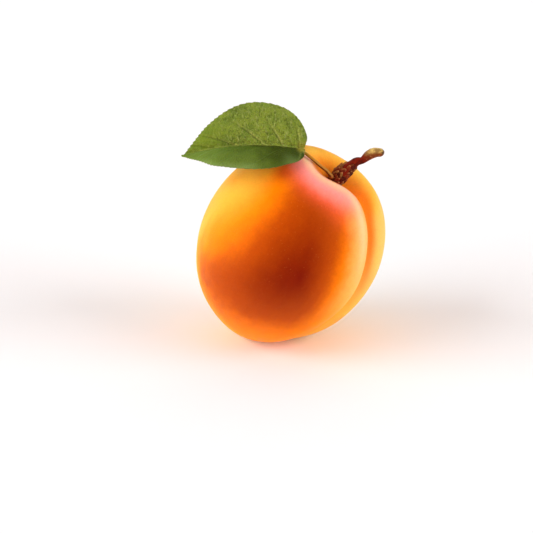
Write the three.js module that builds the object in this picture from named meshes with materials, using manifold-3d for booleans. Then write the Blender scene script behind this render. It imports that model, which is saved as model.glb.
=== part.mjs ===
// A ripe apricot, as picked: the fruit, the piece of woody spur that it hung from, and one leaf.
// It lies on a level surface, on the small spot where its flesh has settled flat, with its stem end
// leaning over to one side. Millimetres, +Z up. The origin is the middle of the flat spot, +X is the
// side that the stem end leans to, and -Y is the cheek that faces forward.
import * as THREE from "three";
import { mergeVertices } from "three/addons/utils/BufferGeometryUtils.js";
import Module from "manifold-3d";

const wasm = await Module();
wasm.setup();
const { degToRad, lerp, smoothstep } = THREE.MathUtils;

// The fruit, in its own frame: +Z to the stem end, +X to the suture, +Y to the far lobe.
const fruit = {
  length: 55.4, // from the shoulders at the stem end to the tip
  width: 48.2, // across the two cheeks
  depth: 47.4, // from the suture to the back
  shoulder: 0.035, // how much fuller it is towards the stem end, as a share of its radius
  around: 72, // facets round it
  along: 42, // facets from the stem end to the tip
  crowding: 0.55, // draws the facets together at the suture
};
const cavity = { depth: 6.2, radius: 7.4, sharpness: 2.3 }; // the hollow that the stem stands in
const suture = {
  valley: 1.9, // depth of the broad valley, at the stem end
  valleyWidth: 5.2, // from the crease to the top of a lobe
  crease: 1.5, // depth of the narrow crease in the valley, at the stem end
  creaseWidth: 1.5,
  tipShare: 0.35, // depth left at the tip
  starts: 1.5, // how far from the stem it begins
  wraps: [-2, 6], // how far out on its side of the fruit it fades in
  lobeRise: 1.5, // how far the near lobe swells up beside the valley
  bend: degToRad(-12), // how far the crease swings aside on its way to the tip
  bendAt: [degToRad(69), degToRad(149)], // angles from the stem end between which it swings
};
const tip = { height: 0.7, radius: 1.8 }; // the small point at the end away from the stem
const pose = {
  lean: degToRad(31), // the stem end's angle from upright
  heading: degToRad(-15.6), // the way that it leans, from +X
  spin: degToRad(-20.5), // of the fruit about its own length
  flatDepth: 0.75, // how much of the underside is pressed flat
};

// The spur's centre line, from the fruit's centre, and its radius at even steps along it.
const spur = {
  points: [
    [10.2, -2.8, 17.3],
    [11.7, -2.5, 18.8],
    [13.7, -2.1, 20.9],
    [15.4, -2.0, 22.3],
    [17.1, -1.9, 23.7],
    [18.5, -2.0, 24.05],
    [20.0, -1.9, 25.3],
    [21.3, -1.9, 26.0],
    [22.5, -2.1, 26.2],
    [24.0, -2.4, 26.25],
  ],
  radii: [1.6, 1.72, 1.89, 1.94, 1.52, 1.24, 0.97, 1.05, 1.29, 1.17, 0.95],
  endRound: 0.9, // length over which the broken end rounds off
  endShare: 0.35, // radius left at the very end, as a share
  ripple: 0.09, // bark ridges, as a share of the radius
  sides: 18,
  steps: 44,
  clearance: 0.4, // room round its foot, in the fruit
};
// Bud scales and scars: how far along the spur, the turn round it, and the radius.
const budStretch = 1.4; // a bud's length, as a share of its width
const budSeat = 0.8; // how far out its middle sits, as a share of the spur's radius
const buds = [
  [0.27, 20, 0.7],
  [0.28, 140, 0.75],
  [0.31, 250, 0.8],
  [0.38, 95, 0.75],
  [0.4, 330, 0.7],
  [0.41, 200, 0.65],
  [0.5, 180, 0.5],
  [0.76, 100, 0.55],
];

const leaf = {
  base: [3.3, -4.1, 27.35], // where the petiole meets the blade, from the fruit's centre
  tip: [-27.6, -2.5, 25.2],
  halfWidth: 12.7,
  thickness: 0.7,
  arch: 1.9, // rise of the midrib over its chord
  nearFold: degToRad(-7), // slope of the near half, falling away forwards
  farFold: degToRad(48), // slope of the far half, standing up behind
  foldRound: 1.2, // half width of the rounded fold at the midrib
  cup: 0.8, // how far each half swells between midrib and edge
  wave: 0.2, // height of the ripple along the edge
  waves: 4,
  teeth: 30, // down each edge
  toothDepth: 0.3,
  veinSlant: 1.35, // how far the rows lean towards the tip on their way out from the midrib
  rows: 91,
  columns: 16,
};
const petiole = {
  // From the side of the spur over the rim of the hollow, from the fruit's centre.
  points: [
    [10.3, -3.6, 20.6],
    [9.3, -4.3, 22.05],
    [8.1, -4.6, 23.05],
    [6.1, -5.2, 25.1],
    [4.8, -5.0, 26.1],
  ],
  radius: 0.42,
  ribRows: [0.04, 0.25, 0.5, 0.75, 0.92], // where it meets the underside of the blade, along it
  ribShare: 0.5, // its radius at the leaf's tip, as a share of that at its foot
  sides: 8,
  steps: 40,
};

const colours = { skin: 0xf08a1c, bark: 0x6b3322, leafGreen: 0x6f8530 };

// A closed solid, for cutting and joining, of a geometry's shape.
function solidFrom(geometry) {
  const bare = geometry.clone();
  bare.deleteAttribute("normal");
  bare.deleteAttribute("uv");
  const merged = mergeVertices(bare, 1e-4);
  return new wasm.Manifold(
    new wasm.Mesh({
      numProp: 3,
      vertProperties: merged.attributes.position.array,
      triVerts: new Uint32Array(merged.index.array),
    }),
  );
}

function geometryFrom(solid) {
  const mesh = solid.getMesh();
  const geometry = new THREE.BufferGeometry();
  geometry.setAttribute("position", new THREE.BufferAttribute(mesh.vertProperties, 3));
  geometry.setIndex(new THREE.BufferAttribute(mesh.triVerts, 1));
  geometry.computeVertexNormals();
  return geometry;
}

// Moves every vertex of a geometry to where place(vertex) says.
function reshape(geometry, place) {
  const position = geometry.attributes.position;
  const vertex = new THREE.Vector3();
  for (let i = 0; i < position.count; i++) {
    place(vertex.fromBufferAttribute(position, i));
    position.setXYZ(i, vertex.x, vertex.y, vertex.z);
  }
  return geometry;
}

// A round bar along a curve, closed at both ends, whose radius at a share s of its length and an
// angle round it is radiusAt(s, angle).
function taperedBar(curve, radiusAt, sides, steps) {
  const frames = curve.computeFrenetFrames(steps, false);
  const centre = new THREE.Vector3();
  return reshape(new THREE.CylinderGeometry(1, 1, 1, sides, steps), (v) => {
    const step = Math.round((v.y + 0.5) * steps);
    const share = step / steps;
    const radius = radiusAt(share, Math.atan2(v.z, v.x));
    curve.getPointAt(share, centre);
    centre.addScaledVector(frames.binormals[step], v.x * radius);
    centre.addScaledVector(frames.normals[step], v.z * radius);
    v.copy(centre);
  });
}

function curveThrough(points) {
  return new THREE.CatmullRomCurve3(points.map((p) => new THREE.Vector3(...p)), false, "centripetal");
}

// Distance from the fruit's centre to its skin. `polar` runs from the stem end (0) to the tip (PI)
// and `turn` goes round from the suture, positive towards the far lobe.
function skinRadius(polar, turn) {
  const out = Math.sin(polar);
  const up = Math.cos(polar);
  const body =
    (1 + fruit.shoulder * up * out * out) /
    Math.hypot(
      (2 * out * Math.cos(turn)) / fruit.depth,
      (2 * out * Math.sin(turn)) / fruit.width,
      (2 * up) / fruit.length,
    );
  const fromStem = polar * body;
  const swing = suture.bend * smoothstep(polar, ...suture.bendAt);
  const across = body * out * Math.sin(turn - swing); // from the crease, round the skin
  const sutureSide = smoothstep(body * out * Math.cos(turn - swing), ...suture.wraps);
  const fade = sutureSide * lerp(1, suture.tipShare, smoothstep(polar, 0, Math.PI));
  const valley = suture.valley * Math.exp(-((across / suture.valleyWidth) ** 2));
  const crease = suture.crease * Math.exp(-Math.abs(across) / suture.creaseWidth);
  const rise = suture.lobeRise * Math.exp(-((across / suture.valleyWidth + 1) ** 2));
  const hollow = cavity.depth * Math.exp(-((fromStem / cavity.radius) ** cavity.sharpness));
  const point = tip.height * Math.exp(-((((Math.PI - polar) * body) / tip.radius) ** 2));
  const clearOfStem = smoothstep(fromStem, suture.starts, cavity.radius);
  return body - hollow - fade * clearOfStem * (valley + crease - rise) + point;
}

// The skin as one closed surface, turned to its pose, about the fruit's centre.
function skinGeometry() {
  const turned = new THREE.Matrix4()
    .makeRotationZ(pose.heading)
    .multiply(new THREE.Matrix4().makeRotationY(pose.lean))
    .multiply(new THREE.Matrix4().makeRotationZ(pose.spin));
  return reshape(new THREE.SphereGeometry(1, fruit.around, fruit.along), (v) => {
    const polar = Math.acos(THREE.MathUtils.clamp(v.y, -1, 1));
    const even = Math.atan2(-v.z, v.x);
    const turn = even - fruit.crowding * Math.sin(even);
    const radius = skinRadius(polar, turn);
    const out = radius * Math.sin(polar);
    v.set(out * Math.cos(turn), out * Math.sin(turn), radius * Math.cos(polar));
  }).applyMatrix4(turned);
}

function lowestPoint(geometry) {
  const position = geometry.attributes.position;
  const lowest = new THREE.Vector3(0, 0, Infinity);
  for (let i = 0; i < position.count; i++)
    if (position.getZ(i) < lowest.z) lowest.fromBufferAttribute(position, i);
  return lowest;
}

// How thick the spur is: its radii run smoothly into each other, its bark is lightly ridged, and
// its broken end rounds off.
function spurRadius(share, angle, length) {
  const place = share * (spur.radii.length - 1);
  const before = Math.min(Math.floor(place), spur.radii.length - 2);
  const between = smoothstep(place - before, 0, 1);
  const plain = lerp(spur.radii[before], spur.radii[before + 1], between);
  const ridges = 1 + spur.ripple * Math.sin(3 * angle + 9 * share) * Math.cos(5 * angle - 21 * share);
  const fromEnd = Math.min(((1 - share) * length) / spur.endRound, 1);
  const rounding = Math.max(Math.sqrt(1 - (1 - fromEnd) ** 2), spur.endShare);
  return plain * ridges * rounding;
}

function spurGeometry() {
  const line = curveThrough(spur.points);
  const length = line.getLength();
  const bar = taperedBar(line, (s, a) => spurRadius(s, a, length), spur.sides, spur.steps);
  let wood = solidFrom(bar);
  const frames = line.computeFrenetFrames(spur.steps, false);
  for (const [share, turn, radius] of buds) {
    const step = Math.round(share * spur.steps);
    const angle = degToRad(turn);
    const bud = new THREE.SphereGeometry(radius, 10, 8);
    bud.scale(1, 1, budStretch);
    const basis = new THREE.Matrix4().makeBasis(
      frames.normals[step],
      frames.binormals[step],
      frames.tangents[step],
    );
    const out = spurRadius(share, angle, length) * budSeat;
    basis.setPosition(
      line
        .getPointAt(share)
        .addScaledVector(frames.binormals[step], out * Math.cos(angle))
        .addScaledVector(frames.normals[step], out * Math.sin(angle)),
    );
    wood = wood.add(solidFrom(bud.applyMatrix4(basis)));
  }
  return geometryFrom(wood);
}

// The socket that the spur's foot stands in, from just below its foot to its thickest part.
function socketGeometry() {
  const line = curveThrough(spur.points);
  const foot = line.getPointAt(0).addScaledVector(line.getTangentAt(0), -spur.clearance);
  const mouth = new THREE.Vector3(...spur.points[2]);
  const bore = new THREE.LineCurve3(foot, mouth);
  const roomAt = (share) => lerp(spur.radii[0], spur.radii[2], share) * (1 + spur.ripple) + spur.clearance;
  return taperedBar(bore, roomAt, spur.sides, 1);
}

// The outline of each half of the blade: along the midrib as a share of its length, and out from it
// as a share of the half width.
const outlines = {
  near: [
    [0, 0.06],
    [-0.012, 0.25],
    [0.03, 0.52],
    [0.11, 0.77],
    [0.2, 0.94],
    [0.3, 1.02],
    [0.42, 1.06],
    [0.55, 1.02],
    [0.68, 0.83],
    [0.8, 0.55],
    [0.9, 0.28],
    [0.97, 0.08],
    [1, 0.02],
  ],
  far: [
    [0, 0.05],
    [-0.034, 0.3],
    [-0.02, 0.48],
    [0.016, 0.66],
    [0.07, 0.8],
    [0.15, 0.92],
    [0.25, 0.99],
    [0.36, 1.01],
    [0.47, 0.975],
    [0.58, 0.89],
    [0.68, 0.77],
    [0.78, 0.59],
    [0.87, 0.36],
    [0.95, 0.14],
    [1, 0.02],
  ],
};
const edgeOf = {
  near: new THREE.SplineCurve(outlines.near.map(([along, out]) => new THREE.Vector2(along, out))),
  far: new THREE.SplineCurve(outlines.far.map(([along, out]) => new THREE.Vector2(along, out))),
};

// A point of the blade in the leaf's own frame: +X from the base to the tip, +Y to the near half.
// `row` runs along it, and `side` from -1 at the far edge to 1 at the near edge.
function bladePoint(row, side, length, toothDepth) {
  const reach = Math.abs(side);
  const near = side > 0;
  const edge = (near ? edgeOf.near : edgeOf.far).getPointAt(row);
  const tooth = row * leaf.teeth - Math.floor(row * leaf.teeth + 1e-6);
  const toothOut = toothDepth * tooth * smoothstep(row, 0.02, 0.08) * reach ** 6;
  const x = length * lerp(row ** leaf.veinSlant, edge.x, reach);
  const out = leaf.halfWidth * edge.y * reach + toothOut;
  const fold = (near ? leaf.nearFold : leaf.farFold) * (out / (out + leaf.foldRound));
  const share = x / length;
  const arch = leaf.arch * 4 * share * (1 - share);
  const dome = leaf.cup * Math.sin(Math.PI * reach) * edge.y;
  const ripple = leaf.wave * Math.sin(2 * Math.PI * leaf.waves * row) * reach ** 3 * edge.y;
  const lift = dome + ripple;
  const y = out * Math.cos(fold) - lift * Math.sin(fold);
  const z = out * Math.sin(fold) + lift * Math.cos(fold);
  return new THREE.Vector3(x + toothOut * row, near ? y : -y, z + arch);
}

// A sheet of even thickness on the blade's surface, split into the same triangles on both faces.
function bladeGeometry(length) {
  const { rows, columns, thickness } = leaf;
  const grid = new THREE.PlaneGeometry(1, 1, columns, rows - 1);
  const position = grid.attributes.position;
  const upper = [];
  const under = [];
  const nudge = 1e-3;
  for (let i = 0; i < position.count; i++) {
    const row = position.getY(i) + 0.5;
    const side = 2 * position.getX(i);
    const back = row > 0.5 ? -nudge : nudge;
    const aside = side > 0 ? -nudge : nudge;
    const smooth = bladePoint(row, side, length, 0);
    const along = bladePoint(row + back, side, length, 0).sub(smooth).divideScalar(back);
    const across = bladePoint(row, side + aside, length, 0).sub(smooth).divideScalar(aside);
    const normal = along.cross(across).normalize();
    const point = bladePoint(row, side, length, leaf.toothDepth);
    upper.push(...point.clone().addScaledVector(normal, thickness / 2));
    under.push(...point.clone().addScaledVector(normal, -thickness / 2));
  }
  const faces = [...grid.index.array];
  const turnedOver = position.count;
  const closed = [];
  for (let i = 0; i < faces.length; i += 3) {
    const [a, b, c] = faces.slice(i, i + 3);
    closed.push(a, c, b, a + turnedOver, b + turnedOver, c + turnedOver);
  }
  const stride = columns + 1;
  const last = rows - 1;
  const rim = [];
  for (let c = 0; c < columns; c++) rim.push(c);
  for (let r = 0; r < last; r++) rim.push(r * stride + columns);
  for (let c = columns; c > 0; c--) rim.push(last * stride + c);
  for (let r = last; r > 0; r--) rim.push(r * stride);
  rim.forEach((a, i) => {
    const b = rim[(i + 1) % rim.length];
    closed.push(a, a + turnedOver, b + turnedOver, a, b + turnedOver, b);
  });
  const blade = new THREE.BufferGeometry();
  blade.setAttribute("position", new THREE.Float32BufferAttribute([...upper, ...under], 3));
  blade.setIndex(closed);
  return blade;
}

// The leaf in its own frame, with its petiole, which runs on under the blade as the midrib.
function leafGeometry(length, toLeaf) {
  const stalkPoints = petiole.points.map((p) => new THREE.Vector3(...p).applyMatrix4(toLeaf));
  const ribPoints = petiole.ribRows.map((row) => {
    const point = bladePoint(row, 0, length, 0);
    point.z -= leaf.thickness / 2;
    return point;
  });
  const line = new THREE.CatmullRomCurve3([...stalkPoints, ...ribPoints], false, "centripetal");
  const radiusAt = (share) => petiole.radius * lerp(1, petiole.ribShare, share);
  const stalk = taperedBar(line, radiusAt, petiole.sides, petiole.steps);
  return geometryFrom(solidFrom(bladeGeometry(length)).add(solidFrom(stalk)));
}

function named(name, geometry, colour, roughness) {
  const material = new THREE.MeshStandardMaterial({ color: colour, roughness, metalness: 0 });
  const mesh = new THREE.Mesh(geometry, material);
  mesh.name = name;
  return mesh;
}

// The fruit rests on its lowest point, pressed flat.
const skin = skinGeometry();
const lowest = lowestPoint(skin);
const fruitCentre = new THREE.Vector3(-lowest.x, -lowest.y, -lowest.z - pose.flatDepth);
const ground = new THREE.BoxGeometry(fruit.length, fruit.length, fruit.length);
ground.translate(0, 0, -fruitCentre.z - fruit.length / 2);
const flesh = solidFrom(skin).subtract(solidFrom(ground)).subtract(solidFrom(socketGeometry()));

const leafBase = new THREE.Vector3(...leaf.base);
const chord = new THREE.Vector3(...leaf.tip).sub(leafBase);
const leafLength = chord.length();
const alongLeaf = chord.clone().normalize();
const acrossLeaf = new THREE.Vector3(0, 0, 1).cross(alongLeaf).normalize();
const leafFrame = new THREE.Matrix4()
  .makeBasis(alongLeaf, acrossLeaf, alongLeaf.clone().cross(acrossLeaf))
  .setPosition(leafBase);

const leafMesh = named("leaf", leafGeometry(leafLength, leafFrame.clone().invert()), colours.leafGreen, 0.5);
leafMesh.applyMatrix4(leafFrame);

const apricot = new THREE.Group();
apricot.position.copy(fruitCentre);
apricot.add(named("fruit", geometryFrom(flesh), colours.skin, 0.45));
apricot.add(named("spur", spurGeometry(), colours.bark, 0.85));
apricot.add(leafMesh);

export default apricot;
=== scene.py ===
import math
import bpy
import numpy as np
from mathutils import Matrix, Vector


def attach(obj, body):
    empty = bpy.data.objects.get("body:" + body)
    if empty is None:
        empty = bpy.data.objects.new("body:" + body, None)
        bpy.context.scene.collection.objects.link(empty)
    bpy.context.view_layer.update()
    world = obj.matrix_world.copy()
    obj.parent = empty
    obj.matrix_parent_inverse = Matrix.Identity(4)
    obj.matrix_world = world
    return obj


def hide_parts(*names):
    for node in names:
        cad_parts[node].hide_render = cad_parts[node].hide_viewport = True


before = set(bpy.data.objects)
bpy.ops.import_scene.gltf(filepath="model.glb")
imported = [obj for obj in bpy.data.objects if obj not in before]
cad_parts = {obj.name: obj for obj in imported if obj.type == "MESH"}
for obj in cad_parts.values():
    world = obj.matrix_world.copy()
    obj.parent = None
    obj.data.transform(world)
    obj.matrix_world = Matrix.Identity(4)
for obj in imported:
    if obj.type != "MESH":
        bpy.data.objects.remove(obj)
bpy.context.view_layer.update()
scene = bpy.context.scene
scene.view_settings.view_transform = "Standard"
mm = 0.001
squareMetre = 1e6  # in square millimetres
fruitCentre = Vector((2.107, -1.705, 25.648)) * mm
print("frame loaded")


# small tools for node trees

class Field:
    # a number or vector on a node tree, to be added, multiplied and so on
    def __init__(self, tree, socket):
        self.tree, self.socket = tree, socket

    def math(self, operation, *others):
        return mathNode(self.tree, operation, self, *others)

    def __add__(self, other): return self.math("ADD", other)
    def __radd__(self, other): return self.math("ADD", other)
    def __sub__(self, other): return self.math("SUBTRACT", other)
    def __rsub__(self, other): return mathNode(self.tree, "SUBTRACT", other, self)
    def __mul__(self, other): return self.math("MULTIPLY", other)
    def __truediv__(self, other): return self.math("DIVIDE", other)
    def __pow__(self, other): return self.math("POWER", other)
    def __neg__(self): return self.math("MULTIPLY", -1.0)


def put(tree, socket, value):
    if isinstance(value, Field):
        tree.links.new(value.socket, socket)
    else:
        socket.default_value = value


def mathNode(tree, operation, *values):
    node = tree.nodes.new("ShaderNodeMath")
    node.operation = operation
    for socket, value in zip(node.inputs, values):
        put(tree, socket, value)
    return Field(tree, node.outputs[0])


def vectorMath(tree, operation, *values):
    node = tree.nodes.new("ShaderNodeVectorMath")
    node.operation = operation
    for socket, value in zip(node.inputs, values):
        put(tree, socket, value)
    single = operation in ("LENGTH", "DOT_PRODUCT", "DISTANCE")
    return Field(tree, node.outputs["Value" if single else "Vector"])


def scaled(vector, factor):
    node = vector.tree.nodes.new("ShaderNodeVectorMath")
    node.operation = "SCALE"
    put(vector.tree, node.inputs[0], vector)
    put(vector.tree, node.inputs["Scale"], factor)
    return Field(vector.tree, node.outputs["Vector"])


def parts(vector):
    node = vector.tree.nodes.new("ShaderNodeSeparateXYZ")
    put(vector.tree, node.inputs[0], vector)
    return [Field(vector.tree, out) for out in node.outputs]


def joined(tree, x, y, z):
    node = tree.nodes.new("ShaderNodeCombineXYZ")
    for socket, value in zip(node.inputs, (x, y, z)):
        put(tree, socket, value)
    return Field(tree, node.outputs[0])


def smooth(value, low, high):
    # 0 below low, 1 above high, and an even curve between
    node = value.tree.nodes.new("ShaderNodeMapRange")
    node.interpolation_type = "SMOOTHSTEP"
    for name, given in (("Value", value), ("From Min", low), ("From Max", high)):
        put(value.tree, node.inputs[name], given)
    return Field(value.tree, node.outputs[0])


def bell(value, width):
    # 1 where value is 0, falling away over width on both sides
    return mathNode(value.tree, "EXPONENT", -((value / width).math("ABSOLUTE") ** 2.0))


def mixed(tree, factor, first, second):
    node = tree.nodes.new("ShaderNodeMix")
    node.data_type = "RGBA"
    for index, value in ((0, factor), (6, first), (7, second)):  # 6 and 7 are its colour sockets
        put(tree, node.inputs[index], value)
    return Field(tree, node.outputs[2])


def tinted(base, factor, code):
    return mixed(base.tree, factor, base, colour(code))


def noise(vector, scale, detail=2.0, roughness=0.5):
    node = vector.tree.nodes.new("ShaderNodeTexNoise")
    put(vector.tree, node.inputs["Vector"], vector)
    for name, given in (("Scale", scale), ("Detail", detail), ("Roughness", roughness)):
        put(vector.tree, node.inputs[name], given)
    return Field(vector.tree, node.outputs[0])


def noiseVector(vector, scale):
    node = vector.tree.nodes.new("ShaderNodeTexNoise")
    put(vector.tree, node.inputs["Vector"], vector)
    node.inputs["Scale"].default_value = scale
    return vectorMath(vector.tree, "SUBTRACT", Field(vector.tree, node.outputs["Color"]), (0.5, 0.5, 0.5))


def voronoi(vector, scale, feature="F1"):
    node = vector.tree.nodes.new("ShaderNodeTexVoronoi")
    node.feature = feature
    put(vector.tree, node.inputs["Vector"], vector)
    node.inputs["Scale"].default_value = scale
    return Field(vector.tree, node.outputs["Distance"])


def attribute(tree, name, kind="Fac"):
    node = tree.nodes.new("ShaderNodeAttribute")
    node.attribute_name = name
    return Field(tree, node.outputs[kind])


def bump(height, distance):
    node = height.tree.nodes.new("ShaderNodeBump")
    node.inputs["Distance"].default_value = distance
    node.inputs["Strength"].default_value = 1.0
    put(height.tree, node.inputs["Height"], height)
    return Field(height.tree, node.outputs[0])


def colour(code):
    # a screen colour such as "f6a21c" as the linear one that a socket takes
    channels = [int(code[i:i + 2], 16) / 255 for i in (0, 2, 4)]
    return [c / 12.92 if c <= 0.04045 else ((c + 0.055) / 1.055) ** 2.4 for c in channels] + [1.0]


def newMaterial(name, sockets):
    material = bpy.data.materials.new(name)
    material.use_nodes = True
    shader = material.node_tree.nodes["Principled BSDF"]
    for key, value in sockets.items():
        shader.inputs[key].default_value = value
    return material, material.node_tree, shader


def growTree(name, sizes):
    # a Geometry Nodes tree with one named input for each size
    tree = bpy.data.node_groups.new(name, "GeometryNodeTree")
    tree.interface.new_socket("Geometry", in_out="INPUT", socket_type="NodeSocketGeometry")
    for key, value in sizes.items():
        kind = "NodeSocketInt" if isinstance(value, int) else "NodeSocketFloat"
        tree.interface.new_socket(key, in_out="INPUT", socket_type=kind)
    tree.interface.new_socket("Geometry", in_out="OUTPUT", socket_type="NodeSocketGeometry")
    start = tree.nodes.new("NodeGroupInput")
    return tree, {socket.name: Field(tree, socket) for socket in start.outputs if socket.name}


def geometryNode(tree, kind, sockets, **settings):
    node = tree.nodes.new(kind)
    for key, value in settings.items():
        setattr(node, key, value)
    for key, value in sockets.items():
        put(tree, node.inputs[key], value)
    return node


def firstOut(node):
    return Field(node.id_data, node.outputs[0])


def ballMesh(tree, segments, rings):
    return firstOut(geometryNode(tree, "GeometryNodeMeshUVSphere",
                                 {"Segments": segments, "Rings": rings, "Radius": 1.0}))


def stored(tree, geometry, name, value, kind="FLOAT"):
    node = geometryNode(tree, "GeometryNodeStoreNamedAttribute", {"Geometry": geometry, "Name": name},
                        data_type=kind, domain="POINT")
    put(tree, node.inputs["Value"], value)
    return firstOut(node)


def endTree(tree, geometry, material):
    # every tree ends the same way
    smoothed = geometryNode(tree, "GeometryNodeSetShadeSmooth", {"Geometry": geometry})
    real = geometryNode(tree, "GeometryNodeRealizeInstances", {"Geometry": firstOut(smoothed)})
    finished = geometryNode(tree, "GeometryNodeSetMaterial",
                            {"Geometry": firstOut(real), "Material": material})
    end = tree.nodes.new("NodeGroupOutput")
    tree.links.new(finished.outputs[0], end.inputs[0])


def grown(name, tree, sizes, source=None):
    # runs a tree and returns what it makes as a plain mesh at the origin
    holder = source or bpy.data.objects.new(name + "Seed", bpy.data.meshes.new(name + "Seed"))
    scene.collection.objects.link(holder)
    modifier = holder.modifiers.new("grow", "NODES")
    modifier.node_group = tree
    for item in tree.interface.items_tree:
        if item.in_out == "INPUT" and item.name in sizes:
            modifier[item.identifier] = sizes[item.name]
    depsgraph = bpy.context.evaluated_depsgraph_get()
    mesh = bpy.data.meshes.new_from_object(holder.evaluated_get(depsgraph), preserve_all_data_layers=True,
                                           depsgraph=depsgraph)
    bpy.data.objects.remove(holder)
    return placed(name, mesh)


def placed(name, mesh):
    mesh.name = name
    piece = bpy.data.objects.new(name, mesh)
    scene.collection.objects.link(piece)
    print(name, len(mesh.polygons), "faces")
    return piece


def finishPiece(piece, slot, *nodes):
    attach(piece, "root")
    if nodes:
        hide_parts(*nodes)


# camera, floor and light

view = {
    "elevation": 22.0,
    "lens": 100.0,
    "distance": 389.6,
    "right": -6.0,  # mm to the right of the fruit's middle, and above it
    "up": -5.6,
    "sensor": 36,
    "nearest": 0.01,
    "furthest": 50,
    "floorSize": 6.0,
    "floorColour": "f7f8fa",
}
lights = {  # where it shines from, strength, how wide it looks in degrees, colour
    "leftWindow": [(-0.85, -0.27, 0.38), 2.9, 55, "ffffff"],
    "rightWindow": [(0.90, -0.30, 0.36), 2.3, 45, "ffffff"],
    "overhead": [(0.05, 0.35, 0.94), 0.65, 90, "ffffff"],
    "warmFill": [(-0.35, -0.93, 0.1), 1.6, 60, "ff9a58"],
}
room = {"frontShade": "707072", "backShade": "ffffff", "strength": 0.33, "lampDistance": 0.5}


def makeCamera():
    tilt = math.radians(view["elevation"])
    right = Vector((1, 0, 0))
    up = Vector((0, math.sin(tilt), math.cos(tilt)))
    toward = Vector((0, -math.cos(tilt), math.sin(tilt)))
    camera = bpy.data.objects.new("camera", bpy.data.cameras.new("camera"))
    camera.data.lens = view["lens"]
    camera.data.sensor_width = view["sensor"]
    camera.data.clip_start = view["nearest"]
    camera.data.clip_end = view["furthest"]
    place = fruitCentre + (view["right"] * right + view["up"] * up + view["distance"] * toward) * mm
    camera.matrix_world = Matrix.Translation(place) @ Matrix((right, up, toward)).transposed().to_4x4()
    scene.collection.objects.link(camera)
    scene.camera = camera


def makeLights():
    for name, (source, strength, width, tint) in lights.items():
        light = bpy.data.objects.new(name, bpy.data.lights.new(name, "SUN"))
        light.data.energy = strength
        light.data.angle = math.radians(width)
        light.data.color = colour(tint)[:3]
        light.location = Vector(source) * room["lampDistance"]
        light.rotation_euler = (-Vector(source)).to_track_quat("-Z", "Y").to_euler()
        scene.collection.objects.link(light)
    world = bpy.data.worlds.new("room")
    world.use_nodes = True
    tree = world.node_tree
    _, y, z = parts(Field(tree, tree.nodes.new("ShaderNodeTexCoord").outputs["Generated"]))
    shade = smooth(y * 0.8 + z * 0.5, -0.7, 0.7)
    put(tree, tree.nodes["Background"].inputs["Color"],
        mixed(tree, shade, colour(room["frontShade"]), colour(room["backShade"])))
    tree.nodes["Background"].inputs["Strength"].default_value = room["strength"]
    scene.world = world


def makeFloor():
    half = view["floorSize"] / 2
    mesh = bpy.data.meshes.new("floor")
    corners = [(-half, -half, 0), (half, -half, 0), (half, half, 0), (-half, half, 0)]
    mesh.from_pydata(corners, [], [(0, 1, 2, 3)])
    material, _, _ = newMaterial("paleFloor", {"Base Color": colour(view["floorColour"]), "Roughness": 0.9,
                                               "Specular IOR Level": 0.1})
    mesh.materials.append(material)
    placed("floor", mesh)


makeCamera()
makeLights()
makeFloor()
print("stage set")


# the fruit: one skin with its suture and the hollow at its stem end

fruitSizes = {  # mm, as in the part's own solid
    "length": 55.4, "width": 48.2, "depth": 47.4, "shoulder": 0.035, "crowding": 0.55,
    "cavityDepth": 6.2, "cavityRadius": 7.4, "cavitySharpness": 2.3,
    "valley": 1.9, "valleyWidth": 5.2, "crease": 1.5, "creaseWidth": 1.5, "tipShare": 0.35,
    "starts": 1.5, "lobeRise": 1.5, "bend": math.radians(-12),
    "tipHeight": 0.7, "tipRadius": 1.8,
    "lean": math.radians(31), "heading": math.radians(-15.6), "spin": math.radians(-20.5),
    "undulation": 0.22,  # how far the skin strays from a perfect shape
    "wrinkle": 0.22,  # depth of the folds in the hollow
    "foldFrom": 4.2, "foldReach": 2.2,  # where those folds lie, from the stem end
    "socketDepth": 1.6, "socketRadius": 1.9,
    "flatSoftness": 0.35,
    "segments": 340, "rings": 250,
}
skinLook = {
    "gold": "ffbb3e", "amber": "ff8b00", "deep": "c65502", "red": "740d02", "pinkAndHighlight": "fb938f",
    "coral": "f4623a", "lipHighlight": "ffcf9a", "flankHighlightAndDots": "ffc070", "grooveShade": "fc6c00", "hollow": "ee7c0a",
    "scar": "5a3218", "flush": "f08a12",
    # the blush, which low on the front is painted shade as well: where its middle faces, its reach to each
    # side, and how it slants and widens downwards
    "blushAndShadeTurn": math.radians(5.8), "blushAndShadeRise": 0.03, "blushAndShadeLeft": 1.2, "blushAndShadeRight": 0.5,
    "blushAndShadeHeight": 1.35, "blushAndShadeDepth": 0.85, "blushAndShadeSlant": -0.19, "blushAndShadeSpread": 0.8,
    "spotFaces": (-0.06, -0.425, 0.903), "spotWidth": 0.09,  # a small burnt-orange spot under the leaf
}


def turnedAbout(vector, axis, angle):
    node = vector.tree.nodes.new("ShaderNodeVectorRotate")
    node.rotation_type = axis + "_AXIS"
    put(vector.tree, node.inputs["Vector"], vector)
    put(vector.tree, node.inputs["Angle"], angle)
    return Field(vector.tree, node.outputs[0])


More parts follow.
